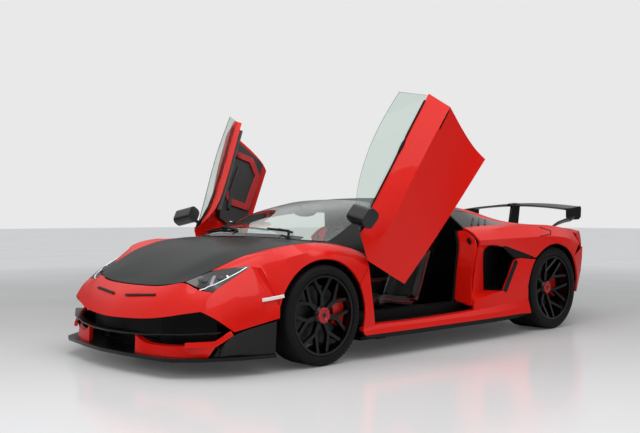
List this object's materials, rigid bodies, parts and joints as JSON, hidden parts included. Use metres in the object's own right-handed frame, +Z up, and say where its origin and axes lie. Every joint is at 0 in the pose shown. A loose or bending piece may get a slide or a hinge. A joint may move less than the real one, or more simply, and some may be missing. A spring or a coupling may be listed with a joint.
{
  "type": "mid-engine supercar",
  "caption": "Low two-seat mid-engine car with upward-swinging doors, front and rear lids, steered front wheels and a rear wing.",
  "frame": {"origin": "middle of the bounding box on the ground", "axes": "+X forward, +Y to the car's left, +Z up"},
  "size_m": [4.943, 2.5944, 1.8533],
  "materials": {
    "body_paint": "gloss red-orange",
    "carbon": "satin dark carbon",
    "black_trim": "satin black",
    "glass": "clear, pale green",
    "lamp_glass": "clear cover",
    "tyre": "rubber",
    "rim_black": "gloss black",
    "steel": "machined",
    "aluminium": "cast",
    "iron": "cast",
    "leather_black": "smooth",
    "red_lamp": "red lens"
  },
  "bodies": {
    "chassis": {"floor_pan": "carbon", "sills": "carbon", "front_bulkhead": "carbon", "rear_bulkhead": "carbon", "centre_tunnel": "black_trim", "front_trunk": "black_trim", "nose": "body_paint", "fender_corners": "body_paint", "front_fenders": "body_paint", "bumper_blades": "body_paint", "intake_walls": "black_trim", "front_splitter": "carbon", "headlights": "lamp_glass", "cowl": "black_trim", "windscreen": "glass", "a_pillars": "black_trim", "roof": "carbon", "rear_quarters": "body_paint", "quarter_windows": "black_trim", "side_scoops": "carbon", "rocker_panels": "body_paint", "side_skirts": "carbon", "rear_deck": "body_paint", "tail_panel": "black_trim", "taillights": "red_lamp", "diffuser": "carbon", "exhaust_tips": "steel", "rear_wing": "carbon", "engine": "aluminium", "dashboard": "leather_black", "seat_left": "leather_black", "seat_right": "leather_black", "steering_wheel": "leather_black", "wheel_arch_liners": "black_trim", "front_axle": "aluminium", "rear_axle": "aluminium", "rear_knuckles": "aluminium", "door_hinges": "steel", "lid_hinges": "steel"},
    "bonnet": {"bonnet": "carbon"},
    "engine_cover": {"engine_cover": "carbon"},
    "door_left": {"door_left": "body_paint", "door_trim_left": "leather_black", "door_glass_left": "glass", "mirror_left": "carbon"},
    "door_right": {"door_right": "body_paint", "door_trim_right": "leather_black", "door_glass_right": "glass", "mirror_right": "carbon"},
    "knuckle_fl": {"knuckle_fl": "aluminium"},
    "knuckle_fr": {"knuckle_fr": "aluminium"},
    "wheel_fl": {"tyre_fl": "tyre", "rim_fl": "rim_black"},
    "wheel_fr": {"tyre_fr": "tyre", "rim_fr": "rim_black"},
    "wheel_rl": {"tyre_rl": "tyre", "rim_rl": "rim_black"},
    "wheel_rr": {"tyre_rr": "tyre", "rim_rr": "rim_black"}
  },
  "joints": [
    {"name": "steer_left", "type": "hinge", "parent": "chassis", "child": "knuckle_fl", "pos_m": [1.4065, 0.845, 0.3305], "axis": [0, 0, 1], "range_deg": [-30, 30]},
    {"name": "wheel_spin_fl", "type": "hinge", "parent": "knuckle_fl", "child": "wheel_fl", "pos_m": [1.4065, 0.86, 0.3305], "axis": [0, 1, 0], "continuous": true},
    {"name": "steer_right", "type": "hinge", "parent": "chassis", "child": "knuckle_fr", "pos_m": [1.4065, -0.845, 0.3305], "axis": [0, 0, 1], "range_deg": [-30, 30]},
    {"name": "wheel_spin_fr", "type": "hinge", "parent": "knuckle_fr", "child": "wheel_fr", "pos_m": [1.4065, -0.86, 0.3305], "axis": [0, 1, 0], "continuous": true},
    {"name": "wheel_spin_rl", "type": "hinge", "parent": "chassis", "child": "wheel_rl", "pos_m": [-1.2935, 0.84, 0.3555], "axis": [0, 1, 0], "continuous": true},
    {"name": "wheel_spin_rr", "type": "hinge", "parent": "chassis", "child": "wheel_rr", "pos_m": [-1.2935, -0.84, 0.3555], "axis": [0, 1, 0], "continuous": true},
    {"name": "door_hinge_left", "type": "hinge", "parent": "chassis", "child": "door_left", "pos_m": [1.058, 0.8, 0.655], "axis": [-0.081, 0.9654, -0.2478], "range_deg": [-58, 0]},
    {"name": "door_hinge_right", "type": "hinge", "parent": "chassis", "child": "door_right", "pos_m": [1.058, -0.8, 0.655], "axis": [0.081, 0.9654, 0.2478], "range_deg": [-58, 0]},
    {"name": "bonnet_hinge", "type": "hinge", "parent": "chassis", "child": "bonnet", "pos_m": [1.335, 0, 0.775], "axis": [0, -1, 0], "range_deg": [0, 50]},
    {"name": "engine_cover_hinge", "type": "hinge", "parent": "chassis", "child": "engine_cover", "pos_m": [-0.443, 0, 1.098], "axis": [0, 1, 0], "range_deg": [0, 45]}
  ],
  "couplings": [
    {"joint": "steer_right", "follows": "steer_left", "ratio": 1}
  ]
}
